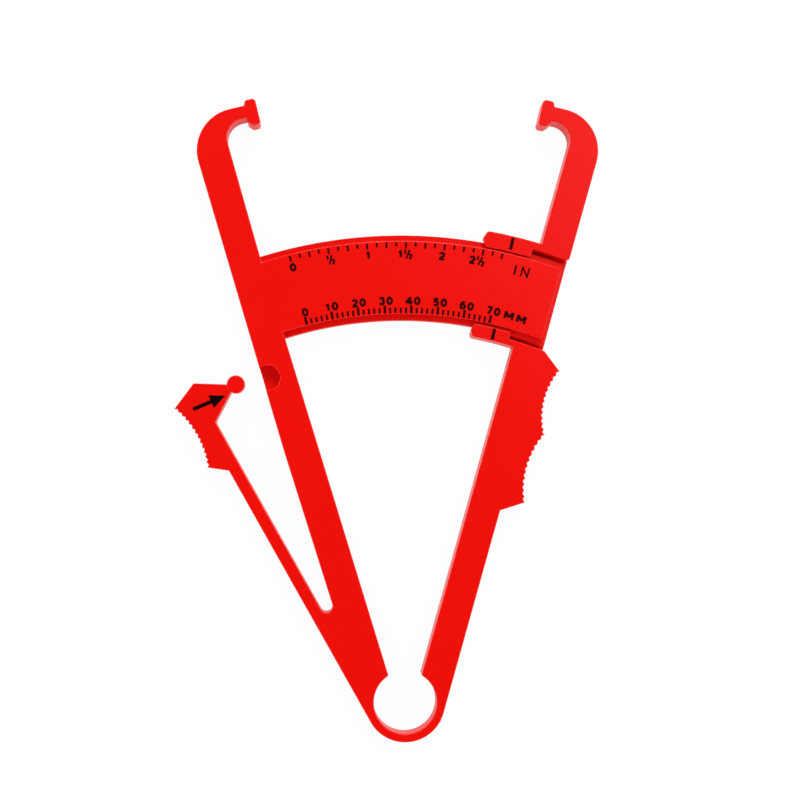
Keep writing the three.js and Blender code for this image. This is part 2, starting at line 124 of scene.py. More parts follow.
@dataclass(frozen=True)
class Line:
    """A straight edge that runs from a point in one direction."""

    start: Vector
    step: Vector

    @classmethod
    def through(cls, start: Vector, end: Vector) -> Line:
        """Makes the edge that runs from one point through another."""
        return cls(start, (end - start).normalized())

    @classmethod
    def up(cls, tilt: float, across: float) -> Line:
        """Makes the edge that runs up a tilted frame at a distance across it."""
        return cls(tilted(tilt, across, 0.0), tilted(tilt, 0.0, 1.0))

    def shifted(self, right: float) -> Line:
        """Gives the parallel edge a distance to the right."""
        return Line(self.start + right * Vector((self.step.y, -self.step.x)), self.step)

    def meets(self, other: Line) -> Vector:
        """Gives the point where this edge crosses another."""
        travel = crossed(other.start - self.start, other.step) / crossed(self.step, other.step)
        return self.start + travel * self.step

    def leaves(self, radius: float, centre: Vector = CENTRE) -> Vector:
        """Gives the point where this edge runs out of a circle."""
        start = self.start - centre
        along = start.dot(self.step)
        reach = math.sqrt(along**2 - start.length_squared + radius**2)
        return self.start + (reach - along) * self.step

    def bearing_at(self, radius: float, centre: Vector = CENTRE) -> float:
        """Gives the bearing at which this edge runs out of a circle."""
        return bearing_of(self.leaves(radius, centre), centre)

    def back_from(self, distance: float) -> Line:
        """Gives this edge the other way, from the point a distance along it."""
        return Line(self.start + self.step * distance, -self.step)

    def foot(self, point: Vector) -> Vector:
        """Gives the point of this edge that is nearest to a point."""
        return self.start + (point - self.start).dot(self.step) * self.step

    def holds(self, point: Vector) -> bool:
        """Tells whether a point lies on this edge."""
        return abs(crossed(point - self.start, self.step)) < ON_EDGE


def arc(
    radius: float, begin: float, end: float, centre: Vector = CENTRE, step: float = 0.6
) -> Points:
    """Draws an arc.

    Args:
        radius: The arc's radius.
        begin: The bearing that it starts at.
        end: The bearing that it ends at.
        centre: The arc's centre.
        step: The largest turn between two points.

    Returns:
        The arc's points, both ends included.
    """
    count = max(1, math.ceil(abs(end - begin) / step))
    bearings = [begin + (end - begin) * i / count for i in range(count + 1)]
    return [at_bearing(radius, bearing, centre) for bearing in bearings]


def round_corner(before: Vector, corner: Vector, after: Vector, radius: float) -> Points:
    """Draws the arc that rounds a corner.

    Args:
        before: The corner before.
        corner: The corner to round.
        after: The corner after.
        radius: The arc's radius.

    Returns:
        The arc's points, in the order of the outline.
    """
    back = (before - corner).normalized()
    ahead = (after - corner).normalized()
    half = math.acos(max(-1.0, min(1.0, back.dot(ahead)))) / 2
    start = corner + back * (radius / math.tan(half))
    centre = corner + (back + ahead).normalized() * (radius / math.sin(half))
    sweep = math.copysign(180.0 - math.degrees(2 * half), crossed(back, ahead))
    first = bearing_of(start, centre)
    return arc(radius, first, first + sweep, centre, step=5.0)


def outline(corners: list[Vector | tuple[Vector, float]]) -> Points:
    """Draws a closed outline.

    Args:
        corners: Its corners in order. A pair of a point and a radius is a rounded corner.

    Returns:
        The outline's points.
    """
    bare = [c[0] if isinstance(c, tuple) else c for c in corners]
    points: Points = []
    for i, corner in enumerate(corners):
        if isinstance(corner, tuple):
            points += round_corner(bare[i - 1], corner[0], bare[(i + 1) % len(bare)], corner[1])
        else:
            points.append(corner)
    return points


def serrated(begin: Vector, end: Vector, sag: float, teeth: int, depth: float) -> Points:
    """Draws a hollow row of teeth, whose valleys are cut to the right of its way.

    Args:
        begin: The first tooth's tip.
        end: The last tooth's tip.
        sag: How deep the hollow curve of the tips is.
        teeth: The number of teeth.
        depth: A tooth's depth.

    Returns:
        The row's points.
    """
    chord = end - begin
    right = Vector((chord.y, -chord.x)).normalized()
    radius = (chord.length_squared / 4 + sag**2) / (2 * sag)
    centre = (begin + end) / 2 + right * (sag - radius)
    first = bearing_of(begin, centre)
    turn = (bearing_of(end, centre) - first + 180.0) % 360.0 - 180.0
    # A moulded valley is a narrow flat, because the mould's tooth has a blunt tip.
    flat = 0.2
    points = []
    for i in range(2 * teeth + 1):
        reach, shares = (radius + depth, (i - flat, i + flat)) if i % 2 else (radius, (i,))
        bearings = [first + turn * share / (2 * teeth) for share in shares]
        points += [at_bearing(reach, bearing, centre) for bearing in bearings]
    return points


# Sizes that the whole moulding shares


@dataclass(frozen=True)
class Heights:
    """Levels through the thickness."""

    face: float = 5.0
    bridge: float = 1.5
    pocket: float = 1.6
    plate_back: float = 1.8
    ledge: float = 3.6
    lip_back: float = 3.95
    disc_back: float = 2.0
    ink: float = 0.02


@dataclass(frozen=True)
class Loop:
    """The spring loop's circles."""

    centre: Vector = field(default_factory=lambda: Vector((0.6, 1.4)))
    inner: float = 7.87
    outer: float = 9.95

    def tangent(self, tilt: float, side: Side) -> Line:
        """Gives the edge that runs up at a tilt from where it touches a side of the loop."""
        touch = self.centre + tilted(tilt, side.value * self.outer, 0.0)
        return Line(touch, tilted(tilt, 0.0, 1.0))


@dataclass(frozen=True)
class Jaw:
    """A jaw's hook and its flat head."""

    side: Side
    reach: float
    depth: float
    outer_radius: float = 10.5
    inner_radius: float = 4.7
    neck: float = 3.1
    neck_offset: float = 0.5
    length: float = 6.5
    thickness: float = 3.1
    face_chamfer: float = 0.55
    back_chamfer: float = 1.1
    rounding: float = 0.4
    back_rounding: float = 0.7

    def path(self, inner: Line, outer: Line) -> Points:
        """Draws the jaw from the arm's inner edge round the head to its outer edge.

        Args:
            inner: The arm's inner edge, running up.
            outer: The arm's outer edge, running up.

        Returns:
            The jaw's points.
        """
        turn = self.side.value * math.degrees(self.depth / self.reach)
        facing = inner.bearing_at(self.reach) - turn

        def at(deep: float, along: float) -> Vector:
            """Gives a point by its depth behind the face and its distance up the head."""
            return tilted(facing, self.side.value * deep, self.reach + along)

        half, thick = self.length / 2, self.thickness
        face, back = self.face_chamfer, self.back_chamfer
        low = self.neck_offset - self.neck / 2
        high = low + self.neck
        over_low, over_high = (Line.through(at(thick, y), at(thick + 1, y)) for y in (low, high))
        head = [
            (thick - back, -half),
            (face, -half),
            (0.0, face - half),
            (0.0, half - face),
            (face, half),
        ]
        return outline(
            [
                inner.start,
                (over_low.meets(inner), self.inner_radius),
                at(thick, low),
                at(thick, back - half),
                *((at(*place), self.rounding) for place in head),
                (at(thick - face, half), self.back_rounding),
                at(thick, high),
                (over_high.meets(outer), self.outer_radius),
                outer.start,
            ]
        )[1:-1]


@dataclass
class Plan:
    """The moulding's shared sizes, and the edges that they give.

    An arm's edge is low below the scale or the bend, and high above it. The sizes of the edges
    are distances across the arm's frame, or pairs of a distance across it and one along it.
    """

    heights: Heights = Heights()
    loop: Loop = Loop()
    left_tilt: float = -17.04
    right_tilt: float = 15.6
    blade_tilt: float = -29.33
    hook_foot: float = 142.75
    left_inner: float = -1.05
    left_inner_hook: float = -0.53
    left_outer_foot: tuple[float, float] = (-9.2, 25.0)
    left_outer_bend: tuple[float, float] = (-9.55, 70.0)
    left_outer_hook: float = -8.81
    right_inner_edge: float = 2.3
    right_outer_edge: float = 10.0
    blade: float = 3.0
    slot_radius: float = 1.55
    ledge_inner: float = 96.75
    ledge_outer: float = 118.0
    face_inner: float = 98.25
    face_outer: float = 116.45

    def __post_init__(self) -> None:
        """Works out the edges."""
        left, right = self.left_tilt, self.right_tilt
        self.left_inner_low = Line.up(left, self.left_inner)
        scale = self.left_inner_low.leaves(self.ledge_outer)
        hook = tilted(left, self.left_inner_hook, self.hook_foot)
        self.left_inner_high = Line.through(scale, hook)
        self.left_bend = tilted(left, *self.left_outer_bend)
        self.left_outer_low = Line.through(tilted(left, *self.left_outer_foot), self.left_bend)
        hook = tilted(left, self.left_outer_hook, self.hook_foot)
        self.left_outer_high = Line.through(self.left_bend, hook)
        self.right_inner = Line.up(right, self.right_inner_edge)
        self.right_outer_low = self.loop.tangent(right, Side.RIGHT)
        self.right_outer_high = Line.up(right, self.right_outer_edge)
        self.blade_outer = self.loop.tangent(self.blade_tilt, Side.LEFT)
        self.blade_inner = self.blade_outer.shifted(self.blade)
        # The slot between the blade and the left arm has a round end.
        corner = self.blade_inner.meets(self.left_outer_low)
        before, after = corner + self.blade_inner.step, corner + self.left_outer_low.step
        self.slot_end = round_corner(before, corner, after, self.slot_radius)
        # On the real moulding the blade and the loop's thin wall flex from these lines; here the
        # pieces butt on them.
        root = self.slot_end[0]
        self.blade_root = Line.through(root, self.blade_outer.foot(root))
        self.loop_root = Line.through(self.loop.centre, self.blade_outer.start)


# Meshes


def shown(data: bpy.types.ID) -> bpy.types.Object:
    """Puts a mesh, a lamp or a camera in the scene.

    Args:
        data: What is put there.

    Returns:
        The object that holds it, by the same name.
    """
    holder = bpy.data.objects.new(data.name, data)
    bpy.context.scene.collection.objects.link(holder)
    return holder


@dataclass
class Rim:
    """How the edges of a moulded layer are rounded."""

    top: float = 0.0
    bottom: float = 0.0
    steps: int = 3


@dataclass
class Moulding:
    """A mesh in the making: layers of the moulding, stacked through its thickness."""

    name: str
    butts: list[Line] = field(default_factory=list)
    mesh: bmesh.types.BMesh = field(default_factory=bmesh.new)
    sharp_angle: float = 38.0

    def _inset(self, points: Points, distance: float) -> Points:
        """Draws an outline again, further in.

        Args:
            points: The outline, anticlockwise.
            distance: How far each edge moves in, except one that butts on another piece.

        Returns:
            The new outline, point for point.
        """
        count = len(points)
        normals, moves = [], []
        for i, point in enumerate(points):
            after = points[(i + 1) % count]
            along = (after - point).normalized()
            normals.append(Vector((-along.y, along.x)))
            butted = any(line.holds(point) and line.holds(after) for line in self.butts)
            moves.append(0.0 if butted else distance)
        inset = []
        for i, point in enumerate(points):
            a, b = normals[i - 1], normals[i]
            turn = crossed(a, b)
            if abs(turn) < STRAIGHT_ON:
                inset.append(point + a * (moves[i - 1] + moves[i]) / 2)
                continue
            x = (moves[i - 1] * b.y - moves[i] * a.y) / turn
            y = (moves[i] * a.x - moves[i - 1] * b.x) / turn
            inset.append(point + Vector((x, y)))
        return inset

    def layer(self, points: Points, low: float, high: float, rim: Rim) -> None:
        """Adds one layer.

        Args:
            points: The layer's outline.
            low: The height of its back.
            high: The height of its front.
            rim: How its edges are rounded.
        """
        area = sum(crossed(points[i - 1], points[i]) for i in range(len(points)))
        ring = points if area > 0 else points[::-1]
        levels = []
        for radius, flat, way in ((rim.bottom, low, 1), (rim.top, high, -1)):
            turns = [math.radians(90.0 * i / rim.steps) for i in range(rim.steps + 1)]
            for turn in turns[::way] if radius else (0.0,):
                off = radius * (1 - math.cos(turn))
                levels.append((radius * (1 - math.sin(turn)), flat + way * off))
        rings = []
        for inward, height in levels:
            drawn = self._inset(ring, inward) if inward else ring
            rings.append([self.mesh.verts.new((p.x * MM, p.y * MM, height * MM)) for p in drawn])
        self.mesh.faces.new(rings[0][::-1])
        self.mesh.faces.new(rings[-1])
        for below, above in zip(rings, rings[1:]):
            for i in range(len(ring)):
                self.mesh.faces.new((below[i - 1], below[i], above[i], above[i - 1]))

    def made(self, finish: bpy.types.Material, slot: Slot) -> bpy.types.Object:
        """Turns the layers into a piece.

        Args:
            finish: The piece's material.
            slot: The record's slot for it; not used.

        Returns:
            The piece, in place.
        """
        data = bpy.data.meshes.new(self.name)
        self.mesh.to_mesh(data)
        self.mesh.free()
        data.shade_smooth()
        data.set_sharp_from_angle(angle=math.radians(self.sharp_angle))
        data.materials.append(finish)
        piece = shown(data)
        weighting = piece.modifiers.new("flat_faces_lead", "WEIGHTED_NORMAL")
        weighting.keep_sharp = True
        LOG.info("made %s with %d faces", self.name, len(data.polygons))
        return piece


# Finishes


def linear(code: str) -> tuple[float, float, float, float]:
    """Turns an sRGB hex colour into linear colour.

    Args:
        code: Six hex digits after a hash.

    Returns:
        Red, green, blue and alpha.
    """
    shares = [int(code[i : i + 2], 16) / 255 for i in (1, 3, 5)]
    r, g, b = (s / 12.92 if s <= 0.04045 else ((s + 0.055) / 1.055) ** 2.4 for s in shares)
    return (r, g, b, 1.0)


def add_node(
    material: bpy.types.Material | bpy.types.World,
    kind: str,
    settings: dict[str, object] | None = None,
    links: dict[str, bpy.types.NodeSocket] | None = None,
) -> bpy.types.Node:
    """Adds a node to a material or a world.

    Args:
        material: What gets the node.
        kind: The node's type.
        settings: Values by the name or the number of an input, or by the name of a property.
        links: Output sockets by the name or the number of the input that each goes to.

    Returns:
        The new node.
    """
    node = material.node_tree.nodes.new(kind)
    for name, value in (settings or {}).items():
        if name.isdigit():
            node.inputs[int(name)].default_value = value
        elif name in node.inputs:
            node.inputs[name].default_value = value
        else:
            setattr(node, name, value)
    for name, socket in (links or {}).items():
        target = node.inputs[int(name)] if name.isdigit() else node.inputs[name]
        material.node_tree.links.new(socket, target)
    return node


def emptied(
    owner: bpy.types.Material | bpy.types.World,
) -> bpy.types.Material | bpy.types.World:
    """Clears the nodes of a new material or world.

    Args:
        owner: The material or the world.

    Returns:
        The same, ready for its own nodes.
    """
    owner.use_nodes = True
    owner.node_tree.nodes.clear()
    return owner


@dataclass(frozen=True)
class MouldedAcetal:
    """Acetal, injection-moulded in a finely spark-eroded mould and coloured right through.

    It is springy and a little waxy. The eye sees a clear saturated red with a soft satin gloss,
    paler where it is seen edge on, with a very fine grain and slight flow marks.
    """

    name: str = "moulded_red_acetal"
    colour: str = "#f20c02"
    deep_colour: str = "#eb0801"
    roughness: float = 0.26
    rough_range: float = 0.06
    ior: float = 1.48
    face_gloss: float = 0.35
    flow_mm: float = 26.0
    # The real grain is about 0.03 mm, too fine to show, so it is drawn at 0.25 mm.
    grain_mm: float = 0.25
    grain_depth_mm: float = 0.002
    waviness_mm: float = 7.0
    waviness_depth_mm: float = 0.012

    def made(self) -> bpy.types.Material:
        """Builds the material."""
        material = emptied(bpy.data.materials.new(self.name))
        where = add_node(material, "ShaderNodeTexCoord").outputs["Object"]
        patterns = []
        for size_mm, detail, roughness in (
            (self.flow_mm, 2.0, 0.5),
            (self.grain_mm, 2.0, 0.6),
            (self.waviness_mm, 1.0, 0.4),
        ):
            settings = {"Scale": 1 / (size_mm * MM), "Detail": detail, "Roughness": roughness}
            pattern = add_node(material, "ShaderNodeTexNoise", settings, {"Vector": where})
            patterns.append(pattern.outputs["Fac"])
        flow, grain, waves = patterns
        tones = {"data_type": "RGBA", "6": linear(self.deep_colour), "7": linear(self.colour)}
        colour = add_node(material, "ShaderNodeMix", tones, {"Factor": flow})
        spread = self.rough_range / 2
        span = {"To Min": self.roughness - spread, "To Max": self.roughness + spread}
        rough = add_node(material, "ShaderNodeMapRange", span, {"Value": grain})
        depth = {"Strength": 1.0, "Distance": self.grain_depth_mm * MM}
        fine = add_node(material, "ShaderNodeBump", depth, {"Height": grain})
        depth = {"Strength": 1.0, "Distance": self.waviness_depth_mm * MM}
        over = {"Height": waves, "Normal": fine.outputs["Normal"]}
        relief = add_node(material, "ShaderNodeBump", depth, over)
        surface = add_node(
            material,
            "ShaderNodeBsdfPrincipled",
            {"IOR": self.ior, "Specular IOR Level": self.face_gloss},
            {
                "Base Color": colour.outputs[2],
                "Roughness": rough.outputs["Result"],
                "Normal": relief.outputs["Normal"],
            },
        )
        add_node(material, "ShaderNodeOutputMaterial", {}, {"Surface": surface.outputs["BSDF"]})
        return material


@dataclass(frozen=True)
class PadPrintedInk:
    """Black ink, pad-printed on the plastic in one thin coat.

    The eye sees a flat near-black that the red below warms a little where the coat is thin.
    """

    name: str = "pad_printed_black_ink"
    colour: str = "#2a0201"
    thin_colour: str = "#600301"
    roughness: float = 0.5
    gloss: float = 0.05
    # The coat's pinholes are about 0.05 mm across, drawn at 0.3 mm.
    pinhole_mm: float = 0.3
    thin_from: float = 0.55
    thin_to: float = 0.75

    def made(self) -> bpy.types.Material:
        """Builds the material."""
        material = emptied(bpy.data.materials.new(self.name))
        where = add_node(material, "ShaderNodeTexCoord").outputs["Object"]
        settings = {"Scale": 1 / (self.pinhole_mm * MM), "Detail": 3.0, "Roughness": 0.6}
        coat = add_node(material, "ShaderNodeTexNoise", settings, {"Vector": where})
        span = {"From Min": self.thin_from, "From Max": self.thin_to}
        thin = add_node(material, "ShaderNodeMapRange", span, {"Value": coat.outputs["Fac"]})
        tones = {"data_type": "RGBA", "6": linear(self.colour), "7": linear(self.thin_colour)}
        colour = add_node(material, "ShaderNodeMix", tones, {"Factor": thin.outputs["Result"]})
        surface = add_node(
            material,
            "ShaderNodeBsdfPrincipled",
            {"Roughness": self.roughness, "Specular IOR Level": self.gloss},
            {"Base Color": colour.outputs[2]},
        )
        add_node(material, "ShaderNodeOutputMaterial", {}, {"Surface": surface.outputs["BSDF"]})
        return material


# The moulding's members


@dataclass
class LeftFrame:
    """The left arm with its jaw, its heel and the scale that it carries."""

    plan: Plan
    jaw: Jaw = Jaw(Side.LEFT, 152.85, 9.36)
    pocket_centre: Vector = field(default_factory=lambda: Vector((-33.675, 82.32)))
    pocket_radius: float = 3.07
    arm_length: float = 100.0
    tip_radius: float = 0.45
    tip_turn: float = 5.0
    ledge_inset: float = 0.5
    ledge_corner: float = 0.8
    ledge_turn: float = 0.6
    ledge_rim: float = 0.15
    face_inset: float = 1.25
    face_corner: float = 0.75
    face_turn: float = 0.5
    rim: float = 0.3

    def heel(self) -> Points:
        """Draws the heel, from the slot round the loop's hole to the mouth of the loop."""
        plan, loop = self.plan, self.plan.loop
        seam = bearing_of(plan.blade_outer.start, loop.centre)
        mouth = plan.left_inner_low.leaves(loop.inner, loop.centre)
        end = bearing_of(mouth, loop.centre) - self.tip_turn
        hole = arc(loop.inner, seam, end, loop.centre, step=4.0)
        tip = round_corner(hole[-1], mouth, mouth + plan.left_inner_low.step, self.tip_radius)
        root = plan.blade_outer.foot(plan.slot_end[0])
        return [*plan.slot_end[::-1], root, plan.blade_outer.start, *hole, *tip]

    def pocket(self) -> Points:
        """Draws the snap pocket, down the arm's outer edge."""
        edge, radius, centre = self.plan.left_outer_high, self.pocket_radius, self.pocket_centre
        begin = edge.bearing_at(radius, centre)
        end = edge.back_from(self.arm_length).bearing_at(radius, centre)
        return arc(radius, begin, begin + (end - begin) % 360.0, centre, step=6.0)

    def band(
        self, inner: float, outer: float, inset: float, turn: float, corner: float
    ) -> Points:
        """Draws a layer of the scale, from the arm along its inner arc and back.

        Args:
            inner: The radius of its inner arc.
            outer: The radius of its outer arc.
            inset: How far its end lies inside the right arm's outer edge.
            turn: How far before the end its arcs give way to the corners.
            corner: The radius of the corners.

        Returns:
            The layer's points.
        """
        arm = self.plan.left_inner_low
        end = self.plan.right_outer_high.shifted(-inset)
        low, high = end.leaves(inner), end.leaves(outer)
        out = arc(inner, arm.bearing_at(inner), bearing_of(low) - turn)
        back = arc(outer, bearing_of(high) - turn, arm.bearing_at(outer))
        low_round = round_corner(out[-1], low, high, corner)
        return [*out, *low_round, *round_corner(low, high, back[0], corner), *back]

    def build(self, finish: bpy.types.Material) -> bpy.types.Object:
        """Builds the frame and puts it in place of its solids.

        Args:
            finish: The moulding's material.

        Returns:
            The piece.
        """
        plan, heights = self.plan, self.plan.heights
        jaw = self.jaw.path(plan.left_inner_high, plan.left_outer_high)
        start = plan.left_inner_high.start
        whole = [*jaw, plan.left_bend, *self.heel(), start]
        notched = [*jaw, *self.pocket(), plan.left_bend, *self.heel()]
        ends = (self.face_inset, self.face_turn, self.face_corner)
        face = self.band(plan.face_inner, plan.face_outer, *ends)
        ends = (self.ledge_inset, self.ledge_turn, self.ledge_corner)
        step = self.band(plan.ledge_inner, plan.ledge_outer, *ends)
        moulding = Moulding("left_frame", [plan.loop_root, plan.blade_root])
        moulding.layer(whole, 0.0, heights.pocket, Rim(bottom=self.rim))
        moulding.layer([*notched, start], heights.pocket, heights.plate_back, Rim())
        front = [*notched, *face, start]
        moulding.layer(front, heights.plate_back, heights.face, Rim(top=self.rim))
        ledge = Moulding("scale_ledge", [plan.left_inner_low])
        ledge.layer(step, heights.plate_back, heights.ledge, Rim(self.ledge_rim, self.ledge_rim))
        frame = moulding.made(finish, Slot.PLASTIC)
        rail = ledge.made(finish, Slot.PLASTIC)
        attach(frame, Body.FIXED.value)
        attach(rail, Body.FIXED.value)
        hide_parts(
            "left_arm", "left_heel", "left_jaw_hook", "left_jaw_pad", "scale_plate"
        )
        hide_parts("scale_outer_rail", "scale_inner_rail", "scale_end_rail")
        return frame


@dataclass(frozen=True)
class GuideTab:
    """A tab that runs along the scale's edge, with a lip over the ledge.

    Its edge, wall and lip are radii. It begins, and its lip ends, at a bearing.
    """

    edge: float
    wall: float
    lip: float
    begin: float
    lip_end: float
    tip_radius: float = 0.95
    end_radius: float = 0.7
    foot_radius: float = 0.4
    foot_turn: float = 0.06
    corner_turn: float = 0.5
    nose: float = 0.75
    web_past_lip: float = 0.6

    def path(self, arm: Line, lipped: bool, to_web: bool = False) -> Points:
        """Draws the tab, from the arm along its outer wall and back along the scale.

        Args:
            arm: The arm's inner edge.
            lipped: Whether the layer has the lip.
            to_web: Whether the layer has the web, where the tab's drawing stops early.

        Returns:
            The tab's points.
        """
        middle = (self.wall + self.lip) / 2
        nose = self.begin + math.degrees(self.nose / middle)
        edge_end = self.lip_end - self.web_past_lip if to_web else arm.bearing_at(self.edge)
        tip = at_bearing(middle, self.begin)
        wall = arc(self.wall, arm.bearing_at(self.wall), nose + self.corner_turn)
        wall_corner = round_corner(wall[-1], at_bearing(self.wall, nose), tip, self.tip_radius)
        if not lipped:
            foot = at_bearing(self.edge, nose)
            heel = at_bearing(self.edge, self.begin + self.foot_turn)
            foot_corner = round_corner(wall_corner[-1], heel, foot, self.foot_radius)
            return [*wall, *wall_corner, *foot_corner, *arc(self.edge, nose, edge_end)]
        lip = arc(self.lip, nose + self.corner_turn, self.lip_end - self.corner_turn)
        nose_corner = round_corner(tip, at_bearing(self.lip, nose), lip[0], self.tip_radius)
        end, foot = at_bearing(self.lip, self.lip_end), at_bearing(self.edge, self.lip_end)
        end_corner = round_corner(lip[-1], end, foot, self.end_radius)
        back = arc(self.edge, self.lip_end, edge_end)
        return [*wall, *wall_corner, tip, *nose_corner, *lip, *end_corner, *back]


@dataclass
class RightArm:
    """The loop's thin wall and the right arm, with its jaw, its guide tabs and its finger grip."""

    plan: Plan
    jaw: Jaw = Jaw(Side.RIGHT, 152.6, 9.12, inner_radius=4.4, neck=3.6, neck_offset=0.25)
    upper_tab: GuideTab = GuideTab(118.95, 120.85, 116.85, 9.72, 15.85)
    lower_tab: GuideTab = GuideTab(95.8, 94.2, 97.5, 10.15, 16.05)
    corner: float = 0.8
    corner_turn: float = 0.6
    tip_radius: float = 0.45
    tip_turn: float = 5.0
    grip_top: float = 91.4
    upper_grip: float = 16.2
    lower_grip: float = 17.6
    grip_foot: float = 3.6
    grip_proud: tuple[float, float, float] = (5.0, 5.7, 5.5)
    grip_sag: float = 1.9
    grip_teeth: int = 12
    tooth: float = 0.4
    rim: float = 0.26

    def grip(self) -> Points:
        """Draws the two toothed hollows of the finger grip, from the top down."""
        start = self.plan.right_outer_low.start
        across = tilted(-self.plan.right_tilt, start.x, start.y).x

        def at(proud: float, below: float) -> Vector:
            """Gives a point by its distances out from the arm's edge and down from the top."""
            return tilted(self.plan.right_tilt, across + proud, self.grip_top - below)

        length = self.upper_grip + self.lower_grip
        top, middle, low = map(at, self.grip_proud, (0.0, self.upper_grip, length))
        upper = serrated(top, middle, self.grip_sag, self.grip_teeth, self.tooth)
        lower = serrated(middle, low, self.grip_sag, self.grip_teeth, self.tooth)
        return [*upper, *lower[1:], at(0.0, length + self.grip_foot)]

    def wall(self) -> Points:
        """Draws the loop's thin wall, from the arm under the hole to the heel and back."""
        plan, loop = self.plan, self.plan.loop
        left = bearing_of(plan.blade_outer.start, loop.centre)
        right = bearing_of(plan.right_outer_low.start, loop.centre) - 360.0
        outer = arc(loop.outer, right, left, loop.centre, step=3.0)
        mouth = plan.right_inner.leaves(loop.inner, loop.centre)
        end = bearing_of(mouth, loop.centre) - (360.0 - self.tip_turn)
        inner = arc(loop.inner, left, end, loop.centre, step=3.0)
        tip = round_corner(inner[-1], mouth, mouth + plan.right_inner.step, self.tip_radius)
        return [*outer, *inner, *tip]

    def lower(self, lipped: bool) -> Points:
        """Draws the arm below the scale with the loop's wall.

        Args:
            lipped: Whether the layer has the guide tab's lip.

        Returns:
            The layer's points.
        """
        inner, outer, tab = self.plan.right_inner, self.plan.right_outer_low, self.lower_tab
        foot = arc(tab.edge, inner.bearing_at(tab.edge), outer.bearing_at(tab.edge))
        return [*tab.path(inner, lipped), *foot[1:], *self.grip(), *self.wall()]

    def upper(self, lipped: bool) -> Points:
        """Draws the arm above the scale with the jaw.

        Args:
            lipped: Whether the layer has the guide tab's lip.

        Returns:
            The layer's points.
        """
        inner, outer, tab = self.plan.right_inner, self.plan.right_outer_high, self.upper_tab
        end = outer.bearing_at(tab.edge)
        foot = arc(tab.edge, end - self.corner_turn, inner.bearing_at(tab.edge))
        corner = at_bearing(tab.edge, end)
        rounded = round_corner(corner + outer.step, corner, foot[0], self.corner)
        jaw = self.jaw.path(inner, outer)
        return [*jaw, *rounded, *foot[:-1], *tab.path(inner, lipped)[::-1]]

    def back(self) -> Points:
        """Draws the whole arm's back, with the web behind the scale."""
        inner, outer = self.plan.right_inner, self.plan.right_outer_high
        web_high = outer.leaves(self.upper_tab.edge)
        web_low = self.plan.right_outer_low.leaves(self.lower_tab.edge)
        lower_tab = self.lower_tab.path(inner, False, to_web=True)
        upper_tab = self.upper_tab.path(inner, False, to_web=True)[::-1]
        lower_arm = [*self.grip(), *self.wall(), *lower_tab]
        return [*self.jaw.path(inner, outer), web_high, web_low, *lower_arm, *upper_tab]

    def build(self, finish: bpy.types.Material) -> bpy.types.Object:
        """Builds the arm and puts it in place of its solids.

        Args:
            finish: The moulding's material.

        Returns:
            The piece.
        """
        heights = self.plan.heights
        moulding = Moulding("right_arm_and_loop", [self.plan.loop_root])
        for lipped, low, high, rim in (
            (False, heights.bridge, heights.lip_back, Rim()),
            (True, heights.lip_back, heights.face, Rim(top=self.rim)),
        ):
            moulding.layer(self.lower(lipped), low, high, rim)
            moulding.layer(self.upper(lipped), low, high, rim)
        moulding.layer(self.back(), 0.0, heights.bridge, Rim(bottom=self.rim))
        piece = moulding.made(finish, Slot.PLASTIC)
        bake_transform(piece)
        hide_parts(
            "spring_loop",
            "right_heel",
            "right_arm_lower",
            "right_arm_upper",
            "guide_bridge",
            "upper_guide_tab",
            "lower_guide_tab",
            "upper_finger_grip",
            "lower_finger_grip",
            "right_jaw_hook",
            "right_jaw_pad",
        )
        return piece


